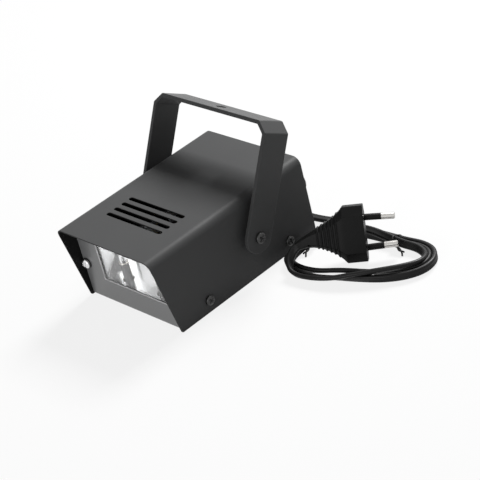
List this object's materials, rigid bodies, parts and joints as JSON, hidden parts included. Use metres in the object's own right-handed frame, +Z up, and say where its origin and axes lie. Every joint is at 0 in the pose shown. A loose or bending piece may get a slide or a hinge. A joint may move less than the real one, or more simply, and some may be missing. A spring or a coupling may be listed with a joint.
{
  "type": "xenon stroboscope",
  "caption": "Small xenon strobe lamp: bent sheet-metal housing with lamp window, tilting U-bracket, rear rate knob and coiled flat mains lead with two-pin plug.",
  "frame": {"origin": "centre of the flat underside of the housing", "axes": "+Z up, -Y the way the lamp looks, +X towards the side where the coiled lead lies"},
  "size_m": [0.1887, 0.1704, 0.0943],
  "materials": {
    "hood_black": "matte black powder coat",
    "chassis_grey": "dark grey paint, slightly glossy",
    "bracket_black": "satin black powder coat",
    "screw_black": "black oxide",
    "screw_bright": "bright zinc",
    "washer_dark": "black oxide",
    "nut_zinc": "zinc plated",
    "spacer_black": "moulded",
    "clear_plate": "clear polished",
    "mirror_foil": "bright polished",
    "tube_glass": "clear",
    "sleeve_grey": "silicone sleeve",
    "bare_wire": "tinned wire",
    "board_brown": "phenolic board",
    "can_sleeve": "shrink sleeve",
    "film_yellow": "dipped",
    "winding_amber": "varnished winding",
    "ceramic_white": "ceramic",
    "chip_black": "moulded",
    "neon_glass": "clear",
    "fuse_glass": "clear with metal caps",
    "clip_tin": "tinned",
    "terminal_grey": "moulded",
    "pot_metal": "plated",
    "shaft_metal": "turned",
    "knob_black": "satin moulded",
    "gland_black": "moulded",
    "wire_insulation": "insulation",
    "cord_black": "satin flexible sheath",
    "tie_black": "plastic covered wire",
    "plug_black": "moulded",
    "pin_nickel": "nickel plated brass"
  },
  "bodies": {
    "housing": {"cover": "hood_black", "cover_screws": "screw_black", "chassis": "chassis_grey", "window": "clear_plate", "reflector": "mirror_foil", "xenon_tube": "tube_glass", "tube_sleeves": "sleeve_grey", "trigger_band": "bare_wire", "front_screws": "screw_bright", "front_washers": "washer_dark", "front_nuts": "nut_zinc", "pivot_screws": "screw_black", "pivot_spacers": "spacer_black", "pivot_nuts": "nut_zinc", "circuit_board": "board_brown", "board_standoffs": "nut_zinc", "board_screws": "screw_bright", "storage_capacitors": "can_sleeve", "film_capacitor": "film_yellow", "trigger_capacitor": "film_yellow", "trigger_transformer": "winding_amber", "power_resistor": "ceramic_white", "thyristor": "chip_black", "neon_trigger": "neon_glass", "rectifier_diodes": "chip_black", "fuse": "fuse_glass", "fuse_clips": "clip_tin", "terminal_block": "terminal_grey", "speed_pot": "pot_metal", "pot_nut": "nut_zinc", "cord_gland": "gland_black", "mains_wires": "wire_insulation", "control_wires": "wire_insulation", "cord_lead": "cord_black", "cord_hank": "cord_black", "cord_tail": "cord_black", "twist_ties": "tie_black", "plug_body": "plug_black", "plug_pins": "pin_nickel", "plug_sleeves": "plug_black"},
    "bracket": {"bracket": "bracket_black"},
    "speed_knob": {"speed_knob": "knob_black", "pot_shaft": "shaft_metal"}
  },
  "joints": [
    {"name": "bracket_tilt", "type": "hinge", "parent": "housing", "child": "bracket", "pos_m": [0, 0.0137, 0.0287], "axis": [1, 0, 0], "range_deg": [-60, 85]},
    {"name": "speed_knob_turn", "type": "hinge", "parent": "housing", "child": "speed_knob", "pos_m": [0.016, 0.062, 0.03], "axis": [0, 1, 0], "range_deg": [-150, 150]}
  ]
}
